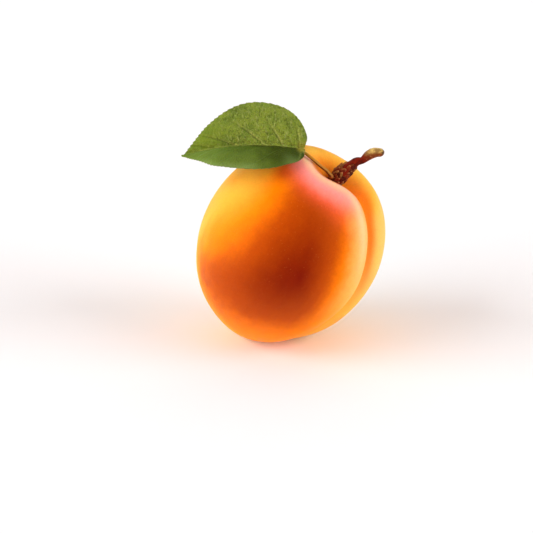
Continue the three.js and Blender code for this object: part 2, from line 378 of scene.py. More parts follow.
def skinMaterial():
    material, tree, shader = newMaterial("apricotSkin", {
        "Roughness": 0.55, "Subsurface Weight": 0.3, "Subsurface Radius": (1.0, 0.3, 0.06),
        "Subsurface Scale": 0.003, "Sheen Weight": 0.1, "Sheen Roughness": 0.35,
        "Sheen Tint": colour("ffc890"), "Specular IOR Level": 0.22, "Specular Tint": colour("ff9a3c")})
    place = attribute(tree, "fruitPlace", "Vector")
    fromStem = attribute(tree, "fromStem")
    across = attribute(tree, "across")
    sutureSide = attribute(tree, "sutureSide")
    fromTip = attribute(tree, "fromTip")
    seen = Field(tree, tree.nodes.new("ShaderNodeTexCoord").outputs["Object"])
    facing = vectorMath(tree, "NORMALIZE", vectorMath(tree, "SUBTRACT", seen, fruitCentre))
    cloud = noise(place, 1.8, 2.0, 0.5) - 0.5
    mottle = noise(place, 8.0, 4.0, 0.6) - 0.5
    streak = noise(vectorMath(tree, "MULTIPLY", place, (9.0, 9.0, 1.2)), 1.5, 3.0, 0.55) - 0.5
    # a red blush on the sunned cheek, fading through amber to gold; its darkest red, low on the front and
    # widening downwards, is painted shade as well as blush
    x, y, z = parts(facing)
    east, south = math.cos(skinLook["blushAndShadeTurn"]), math.sin(skinLook["blushAndShadeTurn"])
    upward = z - skinLook["blushAndShadeRise"]
    sideways = x * east + y * south + upward * skinLook["blushAndShadeSlant"]
    spread = (1.0 - upward.math("MAXIMUM", -0.5) * skinLook["blushAndShadeSpread"]) * skinLook["blushAndShadeLeft"]
    sideways = (sideways / skinLook["blushAndShadeRight"]).math("MAXIMUM", -sideways / spread.math("MAXIMUM", 0.1))
    tall = (upward / skinLook["blushAndShadeHeight"]).math("MAXIMUM", upward / -skinLook["blushAndShadeDepth"])
    behind = smooth(y * east - x * south + cloud * 0.4 + streak * 0.15, -0.4, 0.65) * 2.0
    paling = (sideways * sideways + tall * tall).math("SQRT") + behind
    paling = paling + cloud * 0.22 + mottle * 0.1 + streak * 0.1 + smooth(across, 1.0, 4.5) * 0.8
    base = mixed(tree, smooth(paling, -0.05, 0.97), colour(skinLook["red"]), colour(skinLook["deep"]))
    base = tinted(base, smooth(paling, 0.56, 1.05), skinLook["amber"])
    base = tinted(base, smooth(paling, 0.9, 1.55), skinLook["gold"])
    flush = smooth(cloud + mottle * 0.5, -0.1, 0.25) * smooth(paling, 1.5, 2.3)
    base = tinted(base, flush * 0.4, skinLook["flush"])
    fromSpot = vectorMath(tree, "DISTANCE", facing, skinLook["spotFaces"]) + mottle * 0.03
    base = tinted(base, bell(fromSpot, skinLook["spotWidth"]) * 0.85, skinLook["deep"])
    # the lobe's shoulder beside the hollow is coral and pink, the pink partly a painted highlight, with a
    # pale painted highlight along its lip and down its flank
    inward = mathNode(tree, "SMOOTH_MAX", 8.6 - fromStem, across + 4.8, 2.5)
    nearStem = smooth(fromStem + cloud * 6.0, 21.0, 12.0)
    coral = smooth(inward + cloud * 3.0, -13.0, -6.5) * smooth(inward, 0.5, -1.5) * nearStem
    base = tinted(base, coral * 0.8, skinLook["coral"])
    # pink that is partly blush and partly a painted highlight
    pinkAndHighlight = smooth(inward + mottle * 4.0, -9.5, -3.5) * smooth(inward, 1.0, -0.6)
    pinkAndHighlight = pinkAndHighlight * smooth(fromStem, 17.5, 12.0)
    base = tinted(base, pinkAndHighlight * 0.95, skinLook["pinkAndHighlight"])
    # a pale painted highlight down the flank beside the suture; its colour is also used for the pale dots
    # below
    flankHighlightAndDots = smooth(inward + mottle * 2.0, -6.5, -2.5) * sutureSide * smooth(fromStem, 12.0, 18.0)
    base = tinted(base, flankHighlightAndDots * smooth(fromStem, 44.0, 28.0) * 0.5, skinLook["flankHighlightAndDots"])
    # a pale painted highlight along the lobe's lip
    lipHighlight = bell(inward + 1.0, 1.6) * sutureSide.math("MAXIMUM", smooth(fromStem, 15.0, 11.0))
    base = tinted(base, lipHighlight * smooth(fromStem, 34.0, 16.0) * 0.7, skinLook["lipHighlight"])
    # fine freckles, most of them in the blush
    freckle = smooth(voronoi(place, 26.0), 0.16, 0.04) * smooth(noise(place, 5.0), 0.45, 0.7)
    base = tinted(base, freckle * smooth(paling, 1.4, 0.6) * 0.3, skinLook["red"])
    # the crease with painted shade along it, the hollow and the dry scar at the tip
    highUp = smooth(fromStem, 18.0, 9.0)  # the crease's painted shade spreads up the back lobe beside the hollow
    grooveShade = bell(across - 1.4 - highUp * 1.3, highUp * 1.2 + 2.2) * sutureSide * smooth(fromStem, 2.0, 6.0)
    grooveShade = grooveShade * (smooth(fromStem, 42.0, 20.0) * 0.6 + 0.3)
    base = tinted(base, grooveShade, skinLook["grooveShade"])
    deepIn = smooth(fromStem + mottle * 2.0, 10.0, 4.5) * smooth(inward, -0.5, 1.0)
    base = tinted(base, deepIn * 0.85, skinLook["hollow"])
    base = tinted(base, smooth(fromStem + mottle * 0.6, 2.6, 1.8) * 0.85, skinLook["scar"])
    base = tinted(base, smooth(fromTip + mottle * 0.3, 0.95, 0.5), skinLook["scar"])
    # tiny pale dots and a fine unevenness all over
    dots = smooth(voronoi(place, 34.0), 0.17, 0.07) * smooth(noise(place, 9.0), 0.4, 0.6)
    base = tinted(base, dots * smooth(fromStem, 6.0, 10.0) * 0.14, skinLook["flankHighlightAndDots"])
    base = scaled(base, noise(place, 42.0, 4.0, 0.65) * 0.34 + 0.83)
    put(tree, shader.inputs["Base Color"], base)
    put(tree, shader.inputs["Roughness"], mottle * 0.16 + 0.54)
    pores = smooth(voronoi(place, 95.0), 0.3, 0.0)
    downy = noise(place, 180.0, 2.0, 0.7)
    put(tree, shader.inputs["Normal"], bump(mottle * 0.4 - pores * 0.3 + downy * 0.25, 0.00018))
    return material


def skinRadius(size, polar, turn):
    # the same rule as the part's solid: returns the radius, and the marks that the skin's colours follow
    out = polar.math("SINE")
    up = polar.math("COSINE")
    wide = ((out * turn.math("COSINE") * 2.0 / size["depth"]) ** 2.0
            + (out * turn.math("SINE") * 2.0 / size["width"]) ** 2.0
            + (up.math("ABSOLUTE") * 2.0 / size["length"]) ** 2.0)
    body = (1.0 + size["shoulder"] * up * out * out) / wide.math("SQRT")
    fromStem = polar * body
    fromTip = (math.pi - polar) * body
    swing = size["bend"] * smooth(polar, math.radians(69), math.radians(149))
    across = body * out * (turn - swing).math("SINE")
    sutureSide = smooth(body * out * (turn - swing).math("COSINE"), -2.0, 6.0)
    fade = sutureSide * (1.0 - (1.0 - size["tipShare"]) * smooth(polar, 0.0, math.pi))
    valley = size["valley"] * bell(across, size["valleyWidth"])
    crease = size["crease"] * (-(across.math("ABSOLUTE") / size["creaseWidth"])).math("EXPONENT")
    rise = size["lobeRise"] * bell(across + size["valleyWidth"], size["valleyWidth"])
    slope = (fromStem / size["cavityRadius"]) ** size["cavitySharpness"]
    hollow = size["cavityDepth"] * (-slope).math("EXPONENT")
    socket = size["socketDepth"] * bell(fromStem, size["socketRadius"])
    point = size["tipHeight"] * bell(fromTip, size["tipRadius"])
    clear = smooth(fromStem, size["starts"], size["cavityRadius"])
    radius = body - hollow - socket - fade * clear * (valley + crease - rise) + point
    return radius, {"fromStem": fromStem, "fromTip": fromTip, "across": across, "sutureSide": sutureSide}


def makeFruit():
    tree, size = growTree("fruitForm", fruitSizes)
    ball = ballMesh(tree, size["segments"], size["rings"])
    place = Field(tree, tree.nodes.new("GeometryNodeInputPosition").outputs[0])
    x, y, z = parts(place)
    polar = z.math("MINIMUM", 1.0).math("MAXIMUM", -1.0).math("ARCCOSINE")
    even = y.math("ARCTAN2", x)
    turn = even - size["crowding"] * even.math("SINE")
    radius, marks = skinRadius(size, polar, turn)
    ray = joined(tree, polar.math("SINE") * turn.math("COSINE"), polar.math("SINE") * turn.math("SINE"),
                 polar.math("COSINE"))
    # soft swells all over, and folds that run down into the hollow
    swell = (noise(ray, 1.7, 1.0) - 0.5) * size["undulation"] * 2.0
    foldPlace = joined(tree, turn.math("COSINE") * 4.0, turn.math("SINE") * 4.0, polar * 1.5)
    fold = (noise(foldPlace, 1.6, 2.0) - 0.5) * size["wrinkle"] * 2.0
    fold = fold * bell(marks["fromStem"] - size["foldFrom"], size["foldReach"])
    local = scaled(ray, radius + swell + fold)
    for axis, angle in (("Z", "spin"), ("Y", "lean"), ("Z", "heading")):
        local = turnedAbout(local, axis, size[angle])
    spot = vectorMath(tree, "ADD", scaled(local, mm), fruitCentre)
    x, y, z = parts(spot)
    flat = z.math("SMOOTH_MAX", 0.0, size["flatSoftness"] * mm)
    geometry = ball
    for name, value in marks.items():
        geometry = stored(tree, geometry, name, value)
    geometry = stored(tree, geometry, "fruitPlace", ray, "FLOAT_VECTOR")
    moved = geometryNode(tree, "GeometryNodeSetPosition",
                         {"Geometry": geometry, "Position": joined(tree, x, y, flat)})
    endTree(tree, firstOut(moved), skinMaterial())
    return grown("apricotSkin", tree, fruitSizes)


finishPiece(makeFruit(), "skin", "fruit")
print("fruit made")


# lines and outlines that run smoothly through points

def throughPoints(points, count):
    # evenly spaced points on a smooth line through the given ones
    given = np.array(points, float)
    ends = np.vstack([2 * given[0] - given[1], given, 2 * given[-1] - given[-2]])
    fine = []
    for i in range(1, len(ends) - 2):
        a, b, c, d = ends[i - 1:i + 3]
        steps = [max(np.linalg.norm(q - p), 1e-9) ** 0.5 for p, q in ((a, b), (b, c), (c, d))]
        leave = (b - a) / steps[0] - (c - a) / (steps[0] + steps[1]) + (c - b) / steps[1]
        arrive = (c - b) / steps[1] - (d - b) / (steps[1] + steps[2]) + (d - c) / steps[2]
        leave, arrive = leave * steps[1], arrive * steps[1]
        t = np.linspace(0, 1, 60, endpoint=False)[:, None]
        fine.append(b + leave * t + (3 * (c - b) - 2 * leave - arrive) * t ** 2
                    + (2 * (b - c) + leave + arrive) * t ** 3)
    fine = np.vstack(fine + [given[-1:]])
    along = np.concatenate([[0], np.cumsum(np.linalg.norm(np.diff(fine, axis=0), axis=1))])
    even = np.linspace(0, along[-1], count)
    return np.stack([np.interp(even, along, fine[:, k]) for k in range(fine.shape[1])], axis=1), along[-1]


def easeBetween(x, low, high):
    t = np.clip((x - low) / (high - low), 0, 1)
    return t * t * (3 - 2 * t)


def lineObject(name, points, radii):
    # a curve through points in metres, with a radius at each
    curve = bpy.data.curves.new(name, "CURVE")
    curve.dimensions = "3D"
    spline = curve.splines.new("POLY")
    spline.points.add(len(points) - 1)
    spline.points.foreach_set("co", np.hstack([points, np.ones((len(points), 1))]).ravel())
    spline.points.foreach_set("radius", radii)
    return bpy.data.objects.new(name, curve)


def tube(tree, line, sides):
    # the line as a closed tube, as thick as the line's own radii, marked with its share of the length
    share = Field(tree, tree.nodes.new("GeometryNodeSplineParameter").outputs["Factor"])
    marked = stored(tree, line, "share", share)
    ring = geometryNode(tree, "GeometryNodeCurvePrimitiveCircle", {"Resolution": sides, "Radius": 1.0})
    radius = Field(tree, tree.nodes.new("GeometryNodeInputRadius").outputs[0])
    return firstOut(geometryNode(tree, "GeometryNodeCurveToMesh",
                                 {"Curve": marked, "Profile Curve": firstOut(ring), "Scale": radius,
                                  "Fill Caps": True}))


def pushedOut(tree, geometry, amount):
    normal = Field(tree, tree.nodes.new("GeometryNodeInputNormal").outputs[0])
    return firstOut(geometryNode(tree, "GeometryNodeSetPosition",
                                 {"Geometry": geometry, "Offset": scaled(normal, amount)}))


def namedField(tree, name, kind="FLOAT"):
    node = geometryNode(tree, "GeometryNodeInputNamedAttribute", {"Name": name}, data_type=kind)
    return firstOut(node)


# the spur: a knobbly piece of twig with bud scales at its foot and a tan broken end, olive on top and partly
# painted light there

spurShape = {
    # each point of its middle line, from the fruit's middle, with its radius there
    "line": [(10.2, -2.8, 17.3, 1.6), (11.7, -2.5, 18.8, 1.75), (13.7, -2.1, 20.9, 1.95),
             (15.4, -2.0, 22.3, 1.42), (17.1, -1.9, 23.7, 1.12), (18.5, -2.0, 24.05, 0.9),
             (20.0, -1.9, 25.3, 1.22), (21.3, -1.9, 26.0, 1.3), (22.5, -2.1, 26.2, 1.14),
             (24.0, -2.4, 26.25, 0.95)],
    "count": 160, "endRound": 0.9, "endShare": 0.35,
    # least and most of a scale's and a lenticel's size, and how far each is turned, in radians
    "scaleVaries": (0.6, 1.3, 0.5), "lenticelVaries": (0.5, 1.2, 3.0),
}
spurSizes = {  # mm
    "sides": 72, "ridgeDepth": 0.07, "knobDepth": 0.24, "scaleDensity": 2.4, "scaleSize": 0.64,
    "scaleLift": 0.14, "lenticelDensity": 1.3, "lenticelSize": 0.1, "seed": 7,
}
barkLook = {
    "dark": "35090a", "red": "6e160a", "brown": "94502c", "grey": "7a5a30", "fleck": "c88656",
    "scale": "7c2a1c", "olive": "c8b064", "tan": "74401f", "pith": "4a3820", "topLight": "966a2e",
    "blotch": "522a16",
}


def barkMaterial():
    material, tree, shader = newMaterial("spurBark", {"Roughness": 0.6, "Specular IOR Level": 0.2,
                                                      "Specular Tint": colour("ffb070")})
    share = attribute(tree, "share")
    mark = attribute(tree, "mark")  # 0 bark, 1 bud scale, 2 lenticel
    freeEnd = attribute(tree, "freeEnd")  # 0 at a scale's root, 1 at its tip
    tone = attribute(tree, "tone")
    place = Field(tree, tree.nodes.new("ShaderNodeTexCoord").outputs["Object"])
    _, _, up = parts(Field(tree, tree.nodes.new("ShaderNodeNewGeometry").outputs["Normal"]))
    coarse = noise(place, 500.0, 3.0, 0.6)
    fine = noise(place, 1700.0, 4.0, 0.65)
    base = mixed(tree, smooth(coarse, 0.36, 0.62), colour(barkLook["dark"]), colour(barkLook["red"]))
    base = tinted(base, smooth(fine, 0.56, 0.74) * 0.6, barkLook["brown"])
    isScale = smooth(mark, 0.4, 0.6)
    scaleTint = mixed(tree, tone, colour(barkLook["dark"]), colour(barkLook["scale"]))
    scaleTint = tinted(scaleTint, smooth(tone + (fine - 0.5) * 0.6, 0.78, 0.95), barkLook["grey"])
    # bud scales painted lighter on their upper sides: painted light from above
    topLightMask = smooth(up + (coarse - 0.5) * 1.2, 0.25, 0.95)
    scaleTint = tinted(scaleTint, topLightMask * 0.4, barkLook["topLight"])
    paleEdge = smooth(freeEnd + (coarse - 0.5) * 0.5, 0.66, 0.92) * smooth(tone, 0.25, 0.6)
    scaleTint = tinted(scaleTint, paleEdge * 0.5, barkLook["fleck"])
    base = mixed(tree, isScale, base, scaleTint)
    # the swollen end is tan, olive on top towards its tip, and blotched with brown; its olive top is partly
    # painted light from above
    oliveTopLight = smooth(up + (coarse - 0.5) * 1.2, -0.1, 0.7) * smooth(share + (coarse - 0.5) * 0.2, 0.7, 0.84)
    endTint = mixed(tree, oliveTopLight, colour(barkLook["tan"]), colour(barkLook["olive"]))
    endTint = tinted(endTint, smooth(fine * 0.5 + coarse, 0.74, 0.86) * 0.65, barkLook["blotch"])
    base = mixed(tree, smooth(share + (coarse - 0.5) * 0.2, 0.66, 0.84), base, endTint)
    base = tinted(base, smooth(share, 0.965, 0.985) * smooth(fine, 0.3, 0.55), barkLook["pith"])
    base = tinted(base, smooth(mark, 1.4, 1.6) * 0.5, barkLook["fleck"])
    put(tree, shader.inputs["Base Color"], base)
    put(tree, shader.inputs["Roughness"], fine * 0.3 + 0.45)
    put(tree, shader.inputs["Normal"], bump(fine * 0.7 + coarse * 0.6, 0.00014))
    return material


def scattered(tree, geometry, density, seed, shape, size, varies):
    # small shapes standing on a surface and lying along it, each a little different
    spread = geometryNode(tree, "GeometryNodeDistributePointsOnFaces",
                          {"Mesh": geometry, "Density": density, "Seed": seed}, distribute_method="RANDOM")
    low, high, turn = varies
    chance = []
    for step, (least, most) in enumerate([(low, high), (0.0, 1.0), (-turn, turn)]):
        pick = geometryNode(tree, "FunctionNodeRandomValue", {"Seed": seed + 11.0 + step}, data_type="FLOAT")
        pick.inputs[2].default_value, pick.inputs[3].default_value = least, most
        chance.append(Field(tree, pick.outputs[1]))
    points = stored(tree, Field(tree, spread.outputs["Points"]), "tone", chance[1])
    upright = geometryNode(tree, "FunctionNodeAlignRotationToVector",
                           {"Vector": Field(tree, spread.outputs["Normal"])}, axis="Z")
    along = geometryNode(tree, "FunctionNodeAlignRotationToVector",
                         {"Rotation": firstOut(upright), "Vector": namedField(tree, "runs", "FLOAT_VECTOR")},
                         axis="Y", pivot_axis="Z")
    swing = geometryNode(tree, "FunctionNodeRotateRotation",
                         {"Rotation": firstOut(along), "Rotate By": eulerField(tree, 0.0, 0.0, chance[2])},
                         rotation_space="LOCAL")
    placedOn = geometryNode(tree, "GeometryNodeInstanceOnPoints",
                            {"Points": points, "Instance": shape, "Rotation": firstOut(swing)})
    each = chance[0] * size
    put(tree, placedOn.inputs["Scale"], joined(tree, each, each, each))
    return firstOut(placedOn)


def eulerField(tree, x, y, z):
    return firstOut(geometryNode(tree, "FunctionNodeEulerToRotation", {"Euler": joined(tree, x, y, z)}))


def budScale(tree, lift):
    # a pointed flake, rooted at its lower end and lifting off the bark at its tip
    ball = ballMesh(tree, 10, 8)
    x, y, z = parts(Field(tree, tree.nodes.new("GeometryNodeInputPosition").outputs[0]))
    end = (y + 1.0) * 0.5
    ball = stored(tree, ball, "freeEnd", end)
    ball = stored(tree, ball, "mark", 1.0)
    end = namedField(tree, "freeEnd")
    narrow = 0.95 - end * end * 0.3
    shaped = joined(tree, x * narrow * 0.85, y * 1.05 + 0.3, z * 0.34 + end * end * lift - x * x * 0.25)
    return firstOut(geometryNode(tree, "GeometryNodeSetPosition", {"Geometry": ball, "Position": shaped}))


def lenticel(tree):
    ball = ballMesh(tree, 8, 5)
    ball = stored(tree, stored(tree, ball, "freeEnd", 0.0), "mark", 2.0)
    x, y, z = parts(Field(tree, tree.nodes.new("GeometryNodeInputPosition").outputs[0]))
    return firstOut(geometryNode(tree, "GeometryNodeSetPosition",
                                 {"Geometry": ball, "Position": joined(tree, x, y * 1.7, z * 0.5)}))


def makeSpur():
    count = spurShape["count"]
    middle, length = throughPoints(spurShape["line"], count)
    points = middle[:, :3]
    fromEnd = np.minimum(np.linspace(1, 0, count) * length / spurShape["endRound"], 1)
    radii = middle[:, 3] * np.maximum(np.sqrt(1 - (1 - fromEnd) ** 2), spurShape["endShare"])
    line = lineObject("spurLine", points * mm + np.array(fruitCentre), radii * mm)

    tree, size = growTree("spurForm", spurSizes)
    start = Field(tree, tree.nodes["Group Input"].outputs["Geometry"])
    runs = Field(tree, tree.nodes.new("GeometryNodeInputTangent").outputs[0])
    wood = tube(tree, stored(tree, start, "runs", runs, "FLOAT_VECTOR"), size["sides"])
    place = Field(tree, tree.nodes.new("GeometryNodeInputPosition").outputs[0])
    along = namedField(tree, "share")
    knobby = smooth(along, 0.47, 0.38) * smooth(along, 0.0, 0.06)
    knobs = (noise(place, 650.0, 2.0, 0.5) - 0.5) * size["knobDepth"] * 2.0 * (knobby * 0.8 + 0.2)
    ridges = (noise(place, 1500.0, 3.0, 0.6) - 0.5) * size["ridgeDepth"] * 2.0
    wood = pushedOut(tree, wood, (knobs + ridges) * mm)
    wood = stored(tree, stored(tree, stored(tree, wood, "mark", 0.0), "freeEnd", 0.0), "tone", 0.5)
    perArea = size["scaleDensity"] * squareMetre
    scales = scattered(tree, wood, perArea * knobby, size["seed"], budScale(tree, size["scaleLift"]),
                       size["scaleSize"] * mm, spurShape["scaleVaries"])
    dotted = smooth(along, 0.6, 0.7) * size["lenticelDensity"] * squareMetre
    lenticels = scattered(tree, wood, dotted, size["seed"] + 5.0, lenticel(tree),
                          size["lenticelSize"] * mm, spurShape["lenticelVaries"])
    both = tree.nodes.new("GeometryNodeJoinGeometry")
    for branch in (lenticels, scales, wood):
        tree.links.new(branch.socket, both.inputs[0])
    endTree(tree, firstOut(both), barkMaterial())
    return grown("spurWood", tree, spurSizes, line)


finishPiece(makeSpur(), "bark", "spur")
print("spur made")


# the leaf: a folded blade with sunken veins and a fine saw edge, on a thin petiole

leafShape = {
    "base": (3.3, -4.1, 27.35), "tip": (-27.6, -2.5, 25.2), "halfWidth": 12.7,
    "thickness": 0.34, "edgeThickness": 0.14, "arch": 1.9,
    "thinsFrom": 0.8, "tipFrom": 0.78,  # shares of the way to the edge, and to the tip
    "nearFold": math.radians(-7), "farFold": math.radians(48), "foldRound": 1.2, "cup": 0.8,
    "wave": 0.2, "waves": 4, "teeth": 36, "toothDepth": 0.22, "veinSlant": 1.35,
    "rows": 300, "columns": 124,
    "near": [(0, 0.06), (-0.012, 0.25), (0.03, 0.52), (0.11, 0.77), (0.2, 0.94), (0.3, 1.02), (0.42, 1.06),
             (0.55, 1.02), (0.68, 0.83), (0.8, 0.55), (0.9, 0.28), (0.97, 0.08), (1, 0.005)],
    "far": [(0, 0.05), (-0.034, 0.3), (-0.02, 0.48), (0.016, 0.66), (0.07, 0.8), (0.15, 0.92),
            (0.25, 0.99), (0.36, 1.01), (0.47, 0.975), (0.58, 0.89), (0.68, 0.77), (0.78, 0.59), (0.87, 0.36),
            (0.95, 0.14), (1, 0.005)],
}
veins = {  # mm
    "farStarts": [1.1, 4.9, 9.4, 16.2, 21.2, 25.6], "nearStarts": [0.9, 4.6, 9.2, 14.6, 19.8, 24.4],
    "lean": -0.2, "fan": 0.13, "curl": 0.02,  # each leans over more the further it starts from the base
    "width": 0.26, "depth": 0.13, "crest": 0.18, "crestAway": 0.45, "crestWidth": 0.3,
    "pillow": 0.5, "pillowReach": 1.6, "ribWidth": 0.4, "ribRise": 0.2, "ribTrough": 0.22,
    "underDepth": 0.12, "underRib": 0.3,
}
leafLook = {
    "green": "879d34", "darkGreen": "6a852a", "paleGreen": "b0c066", "tipGreen": "68821a", "pit": "516418",
    "vein": "b8c868", "veinShade": "435610", "rib": "b4bd5a", "nearShadedGreen": "4a6014", "nearFoldShade": "283400",
    "nearPaleLight": "5a7022", "nearTipLight": "65802e", "nearOliveShade": "364600", "nearEdgeReflection": "7b9650", "base": "a09a34",
    "under": "8fa46c", "stalk": "a5740e", "stalkUnderShade": "4c2008", "stalkGreen": "8a8c34", "foot": "a4642c",
}


def leafFrame():
    base = np.array(leafShape["base"])
    along = np.array(leafShape["tip"]) - base
    length = np.linalg.norm(along)
    along = along / length
    across = np.cross((0, 0, 1), along)
    across = across / np.linalg.norm(across)
    return base, np.stack([along, across, np.cross(along, across)]), length


def bladeSurface(row, side, length, teeth=0.0):
    # points of the blade's middle surface in the leaf's own frame, with their flattened places
    reach = np.abs(side)
    near = side > 0
    x, out = np.zeros_like(side), np.zeros_like(side)
    fullness = np.zeros_like(side)
    for half in ("near", "far"):
        edge, _ = throughPoints(leafShape[half], 800)
        mine = near if half == "near" else ~near
        edgeX = np.interp(row, np.linspace(0, 1, 800), edge[:, 0])
        edgeOut = np.interp(row, np.linspace(0, 1, 800), edge[:, 1])
        midrib = row ** leafShape["veinSlant"]
        x = np.where(mine, length * (midrib + (edgeX - midrib) * reach), x)
        out = np.where(mine, leafShape["halfWidth"] * edgeOut * reach, out)
        fullness = np.where(mine, edgeOut, fullness)
    phase = (row * leafShape["teeth"]) % 1
    tooth = np.where(phase < 0.8, phase / 0.8, (1 - phase) / 0.2)
    toothOut = teeth * tooth * easeBetween(row, 0.02, 0.08) * easeBetween(row, 0.98, 0.92) * reach ** 8
    out = out + toothOut
    flatX = x + toothOut * row
    fold = np.where(near, leafShape["nearFold"], leafShape["farFold"]) * out / (out + leafShape["foldRound"])
    share = x / length
    rise = leafShape["arch"] * 4 * share * (1 - share)
    lift = (leafShape["cup"] * np.sin(math.pi * reach) * fullness
            + leafShape["wave"] * np.sin(2 * math.pi * leafShape["waves"] * row) * reach ** 3 * fullness)
    y = out * np.cos(fold) - lift * np.sin(fold)
    z = out * np.sin(fold) + lift * np.cos(fold)
    return np.stack([flatX, np.where(near, y, -y), z + rise], axis=-1), flatX, np.where(near, out, -out)


def veinDistance(flatX, flatOut):
    # how far each flattened place is from the nearest side vein, negative on the base's side
    out = np.abs(flatOut)
    nearest = np.full_like(flatX, 9.0)
    for half in ("near", "far"):
        for start in veins[half + "Starts"]:
            lean = veins["lean"] + veins["fan"] * start
            away = (flatX - start - lean * out - veins["curl"] * out ** 2) / math.sqrt(1 + lean ** 2)
            closer = ((flatOut > 0) == (half == "near")) & (np.abs(away) < np.abs(nearest))
            nearest = np.where(closer, away, nearest)
    return nearest


def makeBlade():
    base, axes, length = leafFrame()
    rowSteps = np.linspace(0, 1, leafShape["rows"])
    sideSteps = np.linspace(-1, 1, leafShape["columns"] + 1)
    row, side = np.meshgrid(rowSteps, sideSteps, indexing="ij")
    plain, _, _ = bladeSurface(row, side, length)
    points, flatX, flatOut = bladeSurface(row, side, length, leafShape["toothDepth"])
    normal = np.cross(np.gradient(plain, axis=0), np.gradient(plain, axis=1))
    normal /= np.maximum(np.linalg.norm(normal, axis=-1, keepdims=True), 1e-12)
    distance = veinDistance(flatX, flatOut)
    reach = np.abs(side)
    inside = 1 - easeBetween(reach, leafShape["thinsFrom"], 1.0)
    grooveShade = np.exp(-(distance / veins["width"]) ** 2) * easeBetween(np.abs(flatOut), 0.1, 0.8)
    grooveShade = grooveShade * (1 - 0.9 * easeBetween(np.abs(flatOut), 3.0, 8.0))
    beside = np.exp(-((distance + veins["crestAway"]) / veins["crestWidth"]) ** 2)
    beside = beside * easeBetween(np.abs(flatOut), 0.1, 0.8)
    rib = np.abs(flatOut) / veins["ribWidth"]
    ridge = np.exp(-rib ** 2)
    trough = np.exp(-(rib - 2.0) ** 2)
    body = 1 - easeBetween(row, leafShape["tipFrom"], 1.0)  # the tip is thin and has no rib
    awayFromVein = 1 - np.exp(-(distance / veins["pillowReach"]) ** 2)
    relief = (veins["pillow"] * awayFromVein * np.sin(math.pi * reach ** 0.8)
              - veins["depth"] * grooveShade * inside + veins["crest"] * beside * inside
              + body * (veins["ribRise"] * ridge - veins["ribTrough"] * trough))
    fuller = (leafShape["thickness"] - leafShape["edgeThickness"]) * inside * body
    half = (leafShape["edgeThickness"] + fuller) / 2
    below = relief - half - veins["underDepth"] * grooveShade * inside - veins["underRib"] * body * ridge
    upper = points + normal * (relief + half)[..., None]
    under = points + normal * below[..., None]
    world = np.concatenate([upper.reshape(-1, 3), under.reshape(-1, 3)]) @ axes + base
    flat = np.stack([flatX, flatOut, np.ones_like(flatX)], axis=-1).reshape(-1, 3)
    flat = np.concatenate([flat, flat * (1, 1, 0)])

    rows, stride = row.shape
    index = np.arange(rows * stride).reshape(rows, stride)
    quads = np.stack([index[:-1, :-1], index[1:, :-1], index[1:, 1:], index[:-1, 1:]], axis=-1).reshape(-1, 4)
    loop = np.concatenate([index[0, :-1], index[:-1, -1], index[-1, :0:-1], index[:0:-1, 0]])
    following = np.roll(loop, -1)
    total = rows * stride
    rim = np.stack([loop, following, following + total, loop + total], axis=-1)
    faces = np.concatenate([quads, quads[:, ::-1] + total, rim])
    mesh = bpy.data.meshes.new("leafBlade")
    mesh.from_pydata((world * mm + np.array(fruitCentre)).tolist(), [], faces.tolist())
    mesh.shade_smooth()
    places = mesh.attributes.new("leafPlace", "FLOAT_VECTOR", "POINT")
    places.data.foreach_set("vector", flat.ravel())
    toVein = mesh.attributes.new("veinDistance", "FLOAT", "POINT")
    toVein.data.foreach_set("value", np.tile(distance.ravel(), 2))
    mesh.materials.append(leafMaterial())
    return placed("leafBlade", mesh)


